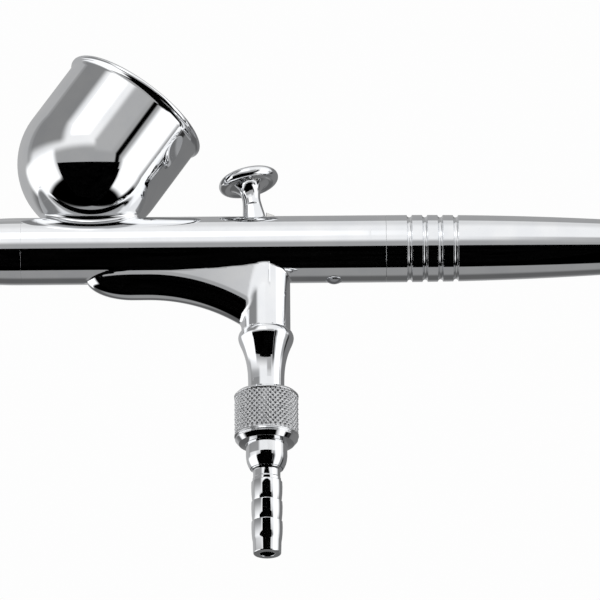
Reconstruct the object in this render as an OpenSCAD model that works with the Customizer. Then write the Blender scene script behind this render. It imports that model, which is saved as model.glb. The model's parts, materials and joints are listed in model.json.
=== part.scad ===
// Gravity-feed, dual-action airbrush gun with a side-tilted cup.
// The barrel runs along X with the nozzle at -X, the cup is up at +Z, and the air valve hangs down.
// The origin is the end of the hose nipple, on the valve's axis. Stations along the barrel are
// measured from the valve's axis, and heights in the modules from the barrel's axis.

/* [Barrel] */
// Height of the barrel's axis over the end of the hose nipple
axis_height = 57.6; // [56:0.1:64]
// Outer diameter of the barrel
barrel_d = 12; // [11.6:0.1:12.6]
// Distance from the valve's axis to the barrel's front end
barrel_front = 43.5; // [42:0.1:46]
// Distance from the valve's axis to the shoulder that the handle meets
barrel_back = 21.5; // [20.5:0.1:22.5]
// Diameter of the chamber that the trigger and the needle tube work in
chamber_d = 8.6; // [8.5:0.05:8.8]
// Width of the trigger slot in front, where the stem comes through
slot_w = 4.8; // [4.4:0.1:5.2]
// Width of the trigger slot behind, where only the lever passes
slot_back_w = 3.8; // [3.7:0.1:4]

/* [Finger rest] */
// Thickness of the web under the barrel
web_t = 8.4; // [7.6:0.1:8.6]
// Radius of the finger curve, measured on the web's rounded bottom
finger_r = 52; // [50:1:56]

/* [Cup] */
// Outer diameter of the cup
cup_d = 27; // [26:0.1:28.5]
// Wall thickness of the cup
cup_wall = 0.9; // [0.8:0.05:1.1]
// Lean of the cup's axis towards the handle, in degrees
cup_tilt = 34.5; // [30:0.5:40]
// Length of the cup's straight wall, above its round bottom
cup_straight = 14; // [11:0.5:15]
// Distance from the valve's axis to the centre of the round bottom
cup_station = 31; // [30.5:0.1:31.5]
// Height of that centre over the barrel's axis
cup_rise = 16.9; // [16.6:0.1:17.2]

/* [Trigger] */
// Diameter of the trigger's button
button_d = 10.8; // [10:0.1:12]
// Distance from the trigger's pivot to the button's rim
trigger_len = 22.3; // [21:0.1:24]
// Diameter of the stem where it enters the barrel
stem_d = 4.2; // [4:0.1:4.3]
// Lean of the released trigger towards the nozzle, in degrees
trigger_lean = 8; // [7:0.5:9]

/* [Air valve] */
// Outer diameter of the valve casing under the barrel
casing_d = 8.7; // [8.6:0.1:9]
// Diameter of the flange where the valve body screws into the casing
flange_d = 10; // [9.6:0.1:10.6]
// Diameter of the waisted neck above the union nut
neck_d = 6.4; // [6.2:0.1:6.8]

/* [Hose connection] */
// Diameter over the union nut's knurl
nut_d = 11.4; // [11:0.1:12.4]
// Diameter of the nut's lower collar
nut_collar_d = 7.3; // [7:0.1:8]
// Number of flutes around the knurled nut
nut_flutes = 30; // [20:1:32]
// Diameter over the nipple's barbs
barb_d = 5.5; // [5.3:0.1:5.5]
// Number of barbs above the nipple's plain end
barb_count = 3; // [2:1:4]

/* [Nozzle end] */
// Diameter of the nozzle cap's front, behind the crown
cap_front_d = 7.2; // [6.8:0.1:8]
// Diameter of the hole in the fluid tip
tip_hole_d = 0.4; // [0.3:0.05:0.5]

/* [Handle] */
// Distance from the valve's axis to the handle's tail end
handle_back = 88; // [84:1:95]
// Radius of the long arc that tapers the handle
taper_r = 637; // [600:1:700]
// Number of ring grooves around the handle
groove_count = 4; // [2:1:4]
// Distance from one ring groove to the next
groove_pitch = 2.75; // [2.4:0.05:2.9]

/* [Needle] */
// Diameter of the needle
needle_d = 1.4; // [1.2:0.05:1.4]
// Turns of the needle's return spring
needle_spring_turns = 12; // [9:1:14]

/* [Hidden] */

fn = 96;             // smoothness of turned shapes
slack = 0.05;        // radial clearance of a running fit
gap = 0.05;          // gap between faces of pieces that turn or slide past each other
through = 1;         // how far a cutting tool runs past the surface that it cuts
barrel_r = barrel_d / 2;
chamber_r = chamber_d / 2;
needle_r = needle_d / 2;

// Stations along the barrel, negative towards the nozzle
front = -barrel_front;
socket_floor = front + 4;
seat_floor = socket_floor + 3.5;
gland_floor = -19;
chamber_front = -9.2;
slot_front = -8.2;
slot_step = 2;
slot_end = 8.8;
spigot_back = barrel_back + 5.5;
screw_station = 12.2;
cap_back = spigot_back + 1.4;
spring_wall = 39.6;
case_back = 41;

// Radii of the bores along the barrel
socket_r = 4.7;
seat_r = 1.8;
gland_r = 2.2;
paint_r = 1.2;
spigot_r = 4.95;
case_r = 3.9;
tube_r = 2;
drain_r = 1.6;
o_ring_r = 0.3;
air_way_r = 0.7;
air_way_z = -3.9;
air_way_station = -15.5;
air_way_mouth = [-2.9, -11.2];

// Cup
cup_r = cup_d / 2;
bead_r = 0.5;

// Finger rest: its rounded bottom follows an arc that starts level at the nose
web_r = web_t / 2;
web_nose = [-28.35, -4.2];
web_arc_r = finger_r + web_r;
web_arc_centre = web_nose - [0, web_arc_r];
web_arc_angle = 30;
web_step = 0.02;
web_reach = 0.3;

// Trigger, lever and plunger: the pivot sits this far under the barrel's axis
pivot_z = -8;
stem_r = stem_d / 2;
stem_flat = 3.4;
stem_low_r = 1.5;
tongue_t = 1.8;
fork_t = 2;
pivot_pin_r = 0.7;
needle_gap_w = 1.9;
lever_t = 1.4;
lever_w = 3.4;
lever_tongue_t = 1.6;
lever_pin_r = 0.6;
lever_pin_at = [4.4, 2.4];
head_front = 2.95;
head_back = 6.8;
head_r = chamber_r - slack - 0.01;

// Heights of the air valve's steps, under the barrel's axis
casing_bottom = -15.7;
casing_step = -12.3;
plunger_r = 2.6;
plunger_top = -6.4;
plunger_bottom = -10.6;
rod_r = 1;
rod_end = -19.3;
seat_z = -19.2;
valve_bore_r = 2.2;
valve_screw_top = -27.4;
thread_top = -28.4;
thread_bottom = -31.6;
thread_r = 4;
poppet_top = -20;
poppet_bottom = -21.2;

// Heights of the hose connection's steps
nut_top = -27.6;
nut_bottom = -37.2;
collar_bottom = -40.3;
nut_end = -41.8;
nut_shoulder = -34.45;
nipple_flange = [-32.2, -34.4];
nipple_neck_bottom = -43.4;
plain_end = 2.3;

// Carries a shape modelled about the barrel's axis to its place
module at_axis() {
    translate([0, 0, axis_height]) children();
}

// A solid turned about the barrel's axis, from its corners [station, radius]
module turned(corners) {
    at_axis() rotate([0, 90, 0]) rotate_extrude($fn = fn)
        polygon([
            [0, corners[0][0]],
            for (c = corners) [c[1], c[0]],
            [0, corners[len(corners) - 1][0]]
        ]);
}

// A solid turned about the valve's axis, from its corners [radius, height]
module turned_down(corners) {
    at_axis() rotate_extrude($fn = fn)
        polygon([
            [0, corners[0][1]],
            for (c = corners) c,
            [0, corners[len(corners) - 1][1]]
        ]);
}

// A plain rod along the barrel from station a to station b
module rod(a, b, r) {
    at_axis() translate([a, 0, 0]) rotate([0, 90, 0]) cylinder(r = r, h = b - a, $fn = fn);
}

// A plain rod down the valve from height a to height b
module post(a, b, r) {
    at_axis() translate([0, 0, min(a, b)]) cylinder(r = r, h = abs(a - b), $fn = fn);
}

// A rod across the barrel, centred on a point [station, height]
module cross_rod(p, r, length) {
    at_axis() translate([p[0], 0, p[1]]) rotate([90, 0, 0])
        cylinder(r = r, h = length, center = true, $fn = fn);
}

// A flat shape drawn as [station, height], as thick as t across the barrel
module plate(t) {
    at_axis() rotate([90, 0, 0]) linear_extrude(t, center = true) children();
}

// Turns a shape modelled on the trigger's own axis so that it leans as the released trigger does
module leaning() {
    at_axis() translate([0, 0, pivot_z]) rotate([0, -trigger_lean, 0]) children();
}

// A box between two corners, in the frame of its caller
module block(low, high) {
    translate(low) cube(high - low);
}

// A coil spring about Z whose outermost points lie on z0 and z1
module coil(r, wire_r, z0, z1, turns) {
    steps = 14;
    sides = 6;
    rings = steps * turns;
    climb = (z1 - z0 - 2 * wire_r) / rings;
    points = [
        for (i = [0 : rings]) for (s = [0 : sides - 1])
            let (a = 360 * i / steps, b = 360 * s / sides, reach = r + wire_r * cos(b))
            [reach * cos(a), reach * sin(a), z0 + wire_r + climb * i + wire_r * sin(b)]
    ];
    skin = [
        for (i = [0 : rings - 1]) for (s = [0 : sides - 1])
            let (k = i * sides, n = (i + 1) * sides, t = (s + 1) % sides)
            each [[k + s, n + t, n + s], [k + s, k + t, n + t]]
    ];
    first = [for (s = [0 : sides - 1]) sides - 1 - s];
    last = [for (s = [0 : sides - 1]) rings * sides + s];
    polyhedron(points, concat(skin, [first, last]));
}

// ---- The brazed body ----

module body() {
    color("gainsboro") difference() {
        union() {
            rod(front, barrel_back, barrel_r);
            rod(barrel_back, spigot_back, spigot_r);
        }
        rod(front - through, socket_floor, socket_r);
        rod(front - through, front + 0.8, socket_r + 2 * o_ring_r);
        rod(socket_floor - through, seat_floor, seat_r);
        rod(seat_floor - through, gland_floor + through, paint_r);
        rod(gland_floor, chamber_front + through, gland_r);
        rod(chamber_front, spigot_back + through, chamber_r);
        post(-barrel_r - through, 0, plunger_r + slack);
        trigger_slot();
        cup_ball(cup_r);
        drain();
        barrel_air_way();
        at_axis() translate([screw_station, 0, -barrel_r - through])
            cylinder(r = 1, h = barrel_r, $fn = fn);
    }
}

// The air way's stretch in the barrel's wall, from the front socket back to the finger rest
module barrel_air_way() {
    translate([0, 0, air_way_z]) rod(socket_floor - through, air_way_station, air_way_r);
    at_axis() translate([air_way_station, 0, -barrel_r - through])
        cylinder(r = air_way_r, h = barrel_r + through + air_way_z, $fn = fn);
}

// The air way's stretch in the finger rest, down to the valve casing
module web_air_way() {
    rise = [air_way_station, -barrel_r + 0.6];
    run = air_way_mouth - rise;
    at_axis() translate([rise[0], 0, rise[1]]) rotate([0, 90 + atan2(-run[1], run[0]), 0])
        cylinder(r = air_way_r, h = norm(run), $fn = fn);
}

module trigger_slot() {
    tall = barrel_r + through;
    at_axis() {
        translate([slot_front + slot_w / 2, 0, 0]) cylinder(d = slot_w, h = tall, $fn = fn);
        block([slot_front + slot_w / 2, -slot_w / 2, 0], [slot_step, slot_w / 2, tall]);
        block([0, -slot_back_w / 2, 0], [slot_end - slot_back_w / 2, slot_back_w / 2, tall]);
        translate([slot_end - slot_back_w / 2, 0, 0])
            cylinder(d = slot_back_w, h = tall, $fn = fn);
    }
}

module finger_rest() {
    color("silver") difference() {
        union() {
            web_plate();
            web_edge();
            web_front();
        }
        rod(front, barrel_back, barrel_r);
        post(0, -30, casing_d / 2);
        web_air_way();
    }
}

// The flat-sided web, which reaches a little into the rounded bottom
module web_plate() {
    web_end = 0.1;
    plate(web_t - 2 * web_step) difference() {
        translate([web_nose[0] + web_reach, -30])
            square([web_end - web_nose[0] - web_reach, 30]);
        translate(web_arc_centre) circle(r = web_arc_r - web_reach, $fn = 4 * fn);
    }
}

// The rounded bottom: a half-round rod, bent along the finger curve
module web_edge() {
    at_axis() translate([web_arc_centre[0], 0, web_arc_centre[1]]) rotate([90, 0, 0])
        rotate([0, 0, 90 - web_arc_angle])
        rotate_extrude(angle = web_arc_angle, $fn = 4 * fn) difference() {
            translate([web_arc_r, 0]) circle(r = web_r, $fn = fn);
            translate([web_arc_r, -web_t]) square(2 * web_t);
        }
}

// The rounded front: half of an upright post with a ball end, a little inside the other two
module web_front() {
    nose_r = web_r - 0.05;
    at_axis() translate([web_nose[0] + 1.5 * web_reach, 0, web_nose[1]]) rotate([0, 0, 90])
        rotate_extrude(angle = 180, $fn = fn) intersection() {
            union() {
                circle(r = nose_r, $fn = fn);
                square([nose_r, -web_nose[1]]);
            }
            translate([0, -web_r]) square([web_r, web_r - web_nose[1]]);
        }
}

module valve_casing() {
    color("silver") difference() {
        post(casing_bottom, 0, casing_d / 2);
        rod(front, barrel_back, barrel_r);
        post(casing_step, 0, plunger_r + slack);
        post(casing_bottom - through, casing_step, 3.2);
        web_air_way();
    }
}

module color_cup() {
    color("gainsboro") difference() {
        at_cup() rotate_extrude($fn = fn) intersection() {
            translate([0, -cup_r - through]) square([cup_r * 2, cup_r + through + cup_straight]);
            union() {
                difference() {
                    cup_outline(cup_r, cup_straight);
                    cup_outline(cup_r - cup_wall, cup_straight + through);
                }
                translate([cup_r, cup_straight - bead_r]) circle(r = bead_r, $fn = fn);
            }
        }
        drain();
    }
}

module cup_outline(r, h) {
    circle(r = r, $fn = fn);
    square([r, h]);
}

module at_cup() {
    at_axis() translate([-cup_station, 0, cup_rise]) rotate([0, cup_tilt, 0]) children();
}

module cup_ball(r) {
    at_cup() sphere(r = r, $fn = fn);
}

module drain() {
    at_axis() translate([-cup_station, 0, 0]) cylinder(r = drain_r, h = barrel_r, $fn = fn);
}

module retaining_screw() {
    dome_r = 1.5;
    dome_ball_r = 2.2;
    proud = 0.6;
    color("gray") union() {
        difference() {
            at_axis() translate([screw_station, 0, -barrel_r - proud]) intersection() {
                cylinder(r = dome_r, h = 2 * proud, $fn = fn);
                translate([0, 0, dome_ball_r]) sphere(r = dome_ball_r, $fn = fn);
            }
            rod(front, barrel_back, barrel_r);
        }
        at_axis() translate([screw_station, 0, -barrel_r - proud / 2])
            cylinder(r = 1, h = barrel_r - chamber_r + proud / 2 - 0.1, $fn = fn);
    }
}

// ---- Nozzle end ----

module nozzle() {
    color("goldenrod") difference() {
        turned([
            [-60.3, 0.5], [-41.6, 2.2], [-41.6, 2.6],
            [socket_floor - 0.4, 2.6], [socket_floor - 0.4, seat_r], [seat_floor, seat_r]
        ]);
        turned([
            [-61, tip_hole_d / 2], [-60.3, tip_hole_d / 2], [-46, 1.1], [seat_floor + through, 1.1]
        ]);
    }
}

module nozzle_seal() {
    color("white") difference() {
        rod(socket_floor - 0.4, socket_floor, 2.6);
        rod(socket_floor - through, socket_floor + through, seat_r);
    }
}

module head_seal() {
    color("black") at_axis() translate([front + 0.36, 0, 0]) rotate([0, 90, 0])
        rotate_extrude($fn = fn) translate([socket_r + o_ring_r, 0]) circle(r = o_ring_r, $fn = 32);
}

// Radius of the nozzle cap's bulging taper, from the barrel's radius at 0 to the front's at 1
function cap_radius(u) = cap_front_d / 2 + (barrel_r - cap_front_d / 2) * sqrt(1 - pow(u, 2.2));

module nozzle_cap() {
    cap_back_face = front - gap;
    cap_front_face = -57;
    cap_len = cap_back_face - cap_front_face;
    steps = 12;
    color("gainsboro") difference() {
        turned([
            [-59.6, 2.6],
            [cap_front_face, 2.6],
            for (i = [steps : -1 : 0]) [cap_back_face - cap_len * i / steps, cap_radius(i / steps)],
            [cap_back_face, socket_r - slack],
            [socket_floor - 0.4, socket_r - slack]
        ]);
        turned([
            [-60, 1], [-58.8, 1], [-58.4, 1.3], [-45, 3.4], [socket_floor + through, 3.4]
        ]);
    }
}

module needle_cap() {
    cap_bore_r = 2.6 + slack;
    color("gainsboro") difference() {
        turned([
            [-63, 2.3], [-62.4, 2.7], [-60.5, 3.3], [-58.5, 3.55], [-57 - gap, cap_front_d / 2]
        ]);
        turned([[-64, 1.6], [-59.7, 1.6], [-59.7, cap_bore_r], [-56, cap_bore_r]]);
    }
}

// ---- Needle and what carries it ----

module needle_packing() {
    color("white") difference() {
        rod(gland_floor, -16.2, gland_r);
        rod(gland_floor - through, -16, needle_r + 0.03);
    }
}

module packing_screw() {
    color("goldenrod") difference() {
        rod(-16.2, -11.4, gland_r);
        rod(-17, -11, needle_r + 0.1);
        at_axis() block([-12.2, -gland_r, -0.35], [-11, gland_r, 0.35]);
    }
}

module needle() {
    color("lightsteelblue") turned([
        [-61.5, 0.06], [-47, needle_r], [67.4, needle_r], [68, needle_r - 0.3]
    ]);
}

module needle_tube() {
    color("silver") difference() {
        union() {
            rod(head_front, head_back, head_r);
            rod(head_back, 50, tube_r);
        }
        rod(head_front - through, 51, needle_r);
        at_axis() block([head_front - through, -0.9, 0], [6.1, 0.9, chamber_r]);
        cross_rod(lever_pin_at, lever_pin_r, 6.4);
        at_axis() block([45.5, -0.2, -tube_r], [51, 0.2, tube_r]);
    }
}

module lever_pin() {
    color("gray") cross_rod(lever_pin_at, lever_pin_r, 6.4);
}

// The lever stands against the stem's back, forked over the needle, with an eye on its own pin
module back_lever() {
    near = stem_r + gap;
    far = near + lever_t;
    foot = 5.4;
    fork_top = 9;
    eye = [
        lever_pin_at[0] * cos(trigger_lean) + (lever_pin_at[1] - pivot_z) * sin(trigger_lean),
        (lever_pin_at[1] - pivot_z) * cos(trigger_lean) - lever_pin_at[0] * sin(trigger_lean)
    ];
    color("darkgray") difference() {
        leaning() {
            difference() {
                rotate([90, 0, 0]) linear_extrude(lever_w, center = true)
                    polygon([[near, foot], [near, 14.4], [far, 13.6], [far, foot]]);
                block([near - through, -needle_gap_w / 2, foot - through],
                    [far + through, needle_gap_w / 2, fork_top]);
            }
            rotate([90, 0, 0]) linear_extrude(lever_tongue_t, center = true) union() {
                translate(eye) circle(r = 1.2, $fn = fn);
                translate([near, eye[1] - 0.6]) square([eye[0] - near, 1.6]);
            }
        }
        cross_rod(lever_pin_at, lever_pin_r + slack, 10);
    }
}

module needle_spring() {
    color("lightgray") at_axis() translate([head_back, 0, 0]) rotate([0, 90, 0])
        coil(2.7, 0.28, 0.02, spring_wall - head_back - 0.02, needle_spring_turns);
}

module spring_case() {
    case_front = 11.2;
    color("silver") difference() {
        turned([
            [case_front, chamber_r], [spigot_back, chamber_r], [spigot_back, 4.6],
            [cap_back, 4.6], [cap_back, case_r], [case_back, case_r]
        ]);
        rod(case_front - through, spring_wall, 3.5);
        rod(spring_wall - through, case_back + through, tube_r + slack);
    }
}

module chuck_nut() {
    nut_r = 3.2;
    flutes = 18;
    color("goldenrod") difference() {
        turned([
            [44.5, nut_r - 0.3], [44.8, nut_r], [50.6, nut_r], [52, 2.2]
        ]);
        rod(44, 50.4, tube_r + slack);
        rod(50, 53, needle_r + 0.1);
        for (i = [0 : flutes - 1])
            at_axis() rotate([360 * i / flutes, 0, 0]) translate([44, 0, nut_r + 0.12])
                rotate([0, 90, 0]) cylinder(r = 0.3, h = 6, $fn = 24);
    }
}

// ---- Handle ----

// Radius of the handle at a station, on its long arc
function handle_radius(x) =
    let (past = max(0, x - barrel_back - 2.4))
    barrel_r - taper_r + sqrt(taper_r * taper_r - past * past);

module handle() {
    start = barrel_back + gap;
    tail = handle_back - 3.1;
    tail_r = handle_radius(tail);
    steps = 14;
    color("gainsboro") difference() {
        union() {
            turned([
                for (i = [0 : steps]) let (x = start + (tail - start) * i / steps)
                    [x, handle_radius(x)]
            ]);
            at_axis() translate([tail, 0, 0]) sphere(r = tail_r, $fn = fn);
        }
        turned([
            [start - through, spigot_r + slack], [cap_back + 0.6, spigot_r + slack],
            [cap_back + 0.6, 4.4], [44, 4.4], [44, 3.7], [60, 3.7], [62, 1.6], [75, 1.6], [76, 0.3]
        ]);
        for (i = [0 : groove_count - 1]) ring_groove(25.7 + groove_pitch * i);
    }
}

module ring_groove(x) {
    at_axis() translate([x, 0, 0]) rotate([0, 90, 0]) rotate_extrude($fn = fn)
        translate([handle_radius(x) + 0.05, 0]) circle(r = 0.45, $fn = 32);
}

// ---- Trigger and air valve ----

module trigger() {
    rim_r = 0.85;
    rim_at = button_d / 2 - rim_r;
    wide_from = 6.6;
    low_from = 2.3;
    flats_to = 17;
    color("gainsboro") leaning() difference() {
        union() {
            intersection() {
                rotate_extrude($fn = fn) difference() {
                    union() {
                        polygon([
                            [0, wide_from], [stem_r, wide_from], [stem_r, 14],
                            [1.55, 18.2], [1.9, 19.4], [rim_at, trigger_len - 1.2],
                            [rim_at, trigger_len], [0, trigger_len]
                        ]);
                        translate([rim_at, trigger_len - 0.6]) circle(r = rim_r, $fn = fn);
                    }
                    translate([0, trigger_len + 12.9]) circle(r = 13.6, $fn = fn);
                }
                union() {
                    block([-8, -stem_flat / 2, 0], [8, stem_flat / 2, flats_to]);
                    block([-8, -8, flats_to], [8, 8, 30]);
                }
            }
            translate([0, 0, low_from]) cylinder(r = stem_low_r, h = 7 - low_from, $fn = fn);
            rotate([90, 0, 0]) cylinder(r = stem_low_r, h = tongue_t, center = true, $fn = fn);
            block([-stem_low_r, -tongue_t / 2, 0], [stem_low_r, tongue_t / 2, low_from + 0.2]);
        }
        rotate([90, 0, 0]) cylinder(r = pivot_pin_r + slack, h = 10, center = true, $fn = fn);
        block([-stem_d, -needle_gap_w / 2, 6.9], [stem_d, needle_gap_w / 2, 11.2]);
    }
}

module trigger_pin() {
    color("gray") cross_rod([0, pivot_z], pivot_pin_r, 4.4);
}

module plunger() {
    color("goldenrod") difference() {
        union() {
            post(plunger_top, plunger_bottom, plunger_r);
            post(plunger_bottom, rod_end, rod_r);
        }
        at_axis() block([-5, -fork_t / 2, pivot_z - 1.8], [5, fork_t / 2, 0]);
        cross_rod([0, pivot_z], pivot_pin_r, 4.4);
    }
}

module valve_poppet() {
    color("goldenrod") union() {
        post(rod_end, poppet_top, 0.9);
        post(poppet_top, poppet_bottom, 1.9);
        post(poppet_bottom, -23.6, 0.8);
    }
}

module poppet_seal() {
    color("black") at_axis() translate([0, 0, poppet_top + 0.38]) rotate_extrude($fn = fn)
        translate([1.3, 0]) circle(r = 0.38, $fn = 32);
}

module valve_spring() {
    color("lightgray") at_axis() translate([0, 0, valve_screw_top])
        coil(1.4, 0.2, 0.02, poppet_bottom - valve_screw_top - 0.02, 5);
}

module valve_screw() {
    color("goldenrod") difference() {
        post(valve_screw_top, -30, valve_bore_r);
        post(valve_screw_top + through, -31, 0.9);
        at_axis() block([-0.35, -valve_bore_r, -31], [0.35, valve_bore_r, -29.2]);
    }
}

module valve_body() {
    bead = 1.5;
    color("silver") difference() {
        union() {
            post(casing_step - 0.1, casing_bottom, 3.2);
            turned_down([
                [4.2, casing_bottom], [4.2, -18.4], [neck_d / 2, -22.6],
                [neck_d / 2, thread_top], [thread_r, thread_top], [thread_r, thread_bottom]
            ]);
            at_axis() rotate_extrude($fn = fn) union() {
                translate([flange_d / 2 - bead, casing_bottom - bead]) circle(r = bead, $fn = fn);
                translate([0, casing_bottom - 2 * bead]) square([flange_d / 2 - bead, 2 * bead]);
            }
        }
        post(0, seat_z - through, rod_r + slack);
        post(seat_z, thread_bottom - through, valve_bore_r);
    }
}

module union_nut() {
    color("silver") difference() {
        turned_down([
            [nut_d / 2 - 0.5, nut_top], [nut_d / 2, nut_top - 0.5], [nut_d / 2, -35.6],
            [nut_d / 2 - 0.4, -35.9], [nut_d / 2 - 0.1, -36.2], [nut_d / 2 - 0.8, nut_bottom],
            [nut_collar_d / 2, nut_bottom], [nut_collar_d / 2, collar_bottom], [2.95, nut_end]
        ]);
        post(nut_top + through, nut_shoulder, thread_r + slack);
        post(nut_shoulder + through, nut_end - through, barb_d / 2 + slack);
        for (i = [0 : nut_flutes - 1])
            at_axis() rotate([0, 0, 360 * i / nut_flutes]) translate([nut_d / 2 + 0.15, 0, -35.4])
                cylinder(r = 0.4, h = 10, $fn = 24);
    }
}

module hose_nipple() {
    barb_top = nipple_neck_bottom - 0.8;
    barb_foot = -axis_height + plain_end;
    barb_len = (barb_top - barb_foot) / barb_count;
    root_r = barb_d / 2 - 0.3;
    color("gainsboro") difference() {
        union() {
            post(nipple_flange[0], nipple_flange[1], 3.85);
            post(nipple_flange[1], nut_end - 0.1, barb_d / 2);
            post(nut_end - 0.1, nipple_neck_bottom, 2.4);
            post(nipple_neck_bottom, barb_top, root_r);
            for (i = [0 : barb_count - 1])
                at_axis() translate([0, 0, barb_foot + barb_len * i])
                    cylinder(r1 = root_r, r2 = barb_d / 2, h = barb_len, $fn = fn);
            post(barb_foot, -axis_height, root_r);
        }
        post(0, -axis_height - through, 1.3);
    }
}

module nipple_seal() {
    color("ivory") difference() {
        post(thread_bottom, nipple_flange[0], 3.6);
        post(thread_bottom + through, nipple_flange[0] - through, 1.6);
    }
}

body();
finger_rest();
valve_casing();
color_cup();
retaining_screw();
nozzle();
nozzle_seal();
head_seal();
nozzle_cap();
needle_cap();
needle_packing();
packing_screw();
needle();
needle_tube();
lever_pin();
back_lever();
needle_spring();
spring_case();
chuck_nut();
handle();
trigger();
trigger_pin();
plunger();
valve_poppet();
poppet_seal();
valve_spring();
valve_screw();
valve_body();
union_nut();
hose_nipple();
nipple_seal();
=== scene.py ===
import functools
import json
import math

import bpy
import numpy as np
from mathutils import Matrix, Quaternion, Vector


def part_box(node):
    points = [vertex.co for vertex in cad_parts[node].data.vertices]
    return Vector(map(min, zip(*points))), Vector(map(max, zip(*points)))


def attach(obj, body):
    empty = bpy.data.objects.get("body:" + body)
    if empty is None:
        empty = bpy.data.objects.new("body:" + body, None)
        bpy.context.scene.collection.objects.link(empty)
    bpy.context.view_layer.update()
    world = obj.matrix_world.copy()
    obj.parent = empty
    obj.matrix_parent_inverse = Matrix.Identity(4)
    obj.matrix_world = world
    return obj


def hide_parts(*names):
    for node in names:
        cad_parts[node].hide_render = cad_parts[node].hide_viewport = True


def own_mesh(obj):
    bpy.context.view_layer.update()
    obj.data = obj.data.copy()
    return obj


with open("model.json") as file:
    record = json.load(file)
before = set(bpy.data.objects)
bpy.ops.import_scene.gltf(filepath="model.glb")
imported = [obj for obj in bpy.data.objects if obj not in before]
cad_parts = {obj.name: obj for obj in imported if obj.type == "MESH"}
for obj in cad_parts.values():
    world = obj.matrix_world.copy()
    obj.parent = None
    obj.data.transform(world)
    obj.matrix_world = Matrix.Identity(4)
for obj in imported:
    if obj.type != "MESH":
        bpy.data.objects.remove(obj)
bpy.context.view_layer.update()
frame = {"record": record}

# The shapes below are in millimetres, with x along the barrel from the air valve's axis and z
# measured from the barrel's axis. MM and AXIS carry them to the shared frame.
MM = 0.001
handle_low, handle_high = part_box("handle")
AXIS = (handle_low.z + handle_high.z) / 2 / MM
BARREL = 6.0  # radius of the barrel
CUP = (-31.0, 16.9)  # centre of the cup's ball, in x and z
TILT = math.radians(34.5)  # of the cup, towards the trigger
LEAN = math.radians(8)  # of the trigger at rest, towards the cup
PIVOT = -8.0  # height of the trigger's pin
SMOOTH_TURN = 0.35  # an outline's corner that turns less than this is drawn smooth


# ---------------------------------------------------------------- mesh building
def make_piece(name, shells):
    """One mesh object from shells of (points, faces, corner normals), in millimetres."""
    points, faces, normals = [], [], []
    for p, f, n in shells:
        base = sum(len(q) for q in points)
        points.append(np.asarray(p, float))
        faces.extend([tuple(int(i) + base for i in face) for face in f])
        normals.append(np.asarray(n, float))
    points = np.concatenate(points)
    normals = np.concatenate(normals)
    normals /= np.maximum(np.linalg.norm(normals, axis=1, keepdims=True), 1e-12)
    points = (points + (0, 0, AXIS)) * MM
    mesh = bpy.data.meshes.new(name)
    mesh.from_pydata(points.tolist(), [], faces)
    mesh.polygons.foreach_set("use_smooth", [True] * len(mesh.polygons))
    mesh.normals_split_custom_set(normals.tolist())
    mesh.update()
    obj = bpy.data.objects.new(name, mesh)
    bpy.context.scene.collection.objects.link(obj)
    return obj


def outline(corners, soft=0.08, steps=5):
    """A closed outline of (station, radius[, rounding]) corners.

    It gives the points, and the normals just before and just after each of them.
    """
    c = np.array([k[:2] for k in corners], float)
    m = len(c)
    area = 0.5 * sum(
        c[i][0] * c[(i + 1) % m][1] - c[(i + 1) % m][0] * c[i][1] for i in range(m)
    )
    side = 1.0 if area > 0 else -1.0
    points, before, after = [], [], []

    def put(point, normal_before, normal_after):
        points.append(point)
        before.append(normal_before)
        after.append(normal_after)

    for i in range(m):
        p, a, b = c[i], c[i - 1], c[(i + 1) % m]
        u, v = p - a, b - p
        lu, lv = np.linalg.norm(u), np.linalg.norm(v)
        u, v = u / lu, v / lv
        nu, nv = side * np.array([u[1], -u[0]]), side * np.array([v[1], -v[0]])
        turn = math.atan2(u[0] * v[1] - u[1] * v[0], u @ v)
        rounding = corners[i][2] if len(corners[i]) > 2 else soft
        if abs(turn) < SMOOTH_TURN:
            n = nu * lu + nv * lv
            put(p, n, n)
            continue
        if p[1] < 1e-6 or rounding <= 0:
            put(p, nu, nv)
            continue
        reach = min(rounding * math.tan(abs(turn) / 2), 0.45 * lu, 0.45 * lv)
        r = reach / math.tan(abs(turn) / 2)
        convex = 1.0 if turn * side > 0 else -1.0
        centre = p - u * reach - nu * r * convex
        for k in range(steps + 1):
            cos, sin = math.cos(turn * k / steps), math.sin(turn * k / steps)
            n = np.array([nu[0] * cos - nu[1] * sin, nu[0] * sin + nu[1] * cos])
            put(centre + n * r * convex, n, n)
    return np.array(points), np.array(before), np.array(after)


def stack(rings, before, after, closed=True):
    """A shell through rings of points (m, n, 3), with the normals before and after each ring."""
    m, n = rings.shape[:2]
    pole = [np.ptp(rings[i], axis=0).max() < 1e-7 for i in range(m)]
    start, points = [], []
    for i in range(m):
        start.append(sum(len(p) for p in points))
        points.append(rings[i][:1] if pole[i] else rings[i])
    points = np.concatenate(points)
    faces, normals = [], []
    for i in range(m if closed else m - 1):
        j = (i + 1) % m
        if pole[i] and pole[j]:
            continue
        for k in range(n):
            q = (k + 1) % n
            corner = [(i, k, after), (j, k, before), (j, q, before), (i, q, after)]
            if pole[i]:
                corner = corner[:3]
            elif pole[j]:
                corner = [corner[0], corner[1], corner[3]]
            faces.append(tuple(start[r] + (0 if pole[r] else s) for r, s, _ in corner))
            normals.append([side[r, s] for r, s, side in corner])
    shell_normals = np.concatenate([np.array(x) for x in normals])
    # a sample of the faces tells whether they are wound against their normals
    agreement = 0.0
    for face, ns in list(zip(faces, normals))[:: max(1, len(faces) // 400)]:
        a, b, c = (points[face[i]] for i in range(3))
        agreement += float(np.cross(b - a, c - a) @ np.sum(ns, axis=0))
    if agreement < 0:
        flipped, order, at = [], [], 0
        for face in faces:
            flipped.append(face[::-1])
            order.extend(range(at + len(face) - 1, at - 1, -1))
            at += len(face)
        faces, shell_normals = flipped, shell_normals[order]
    return points, faces, shell_normals


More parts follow.
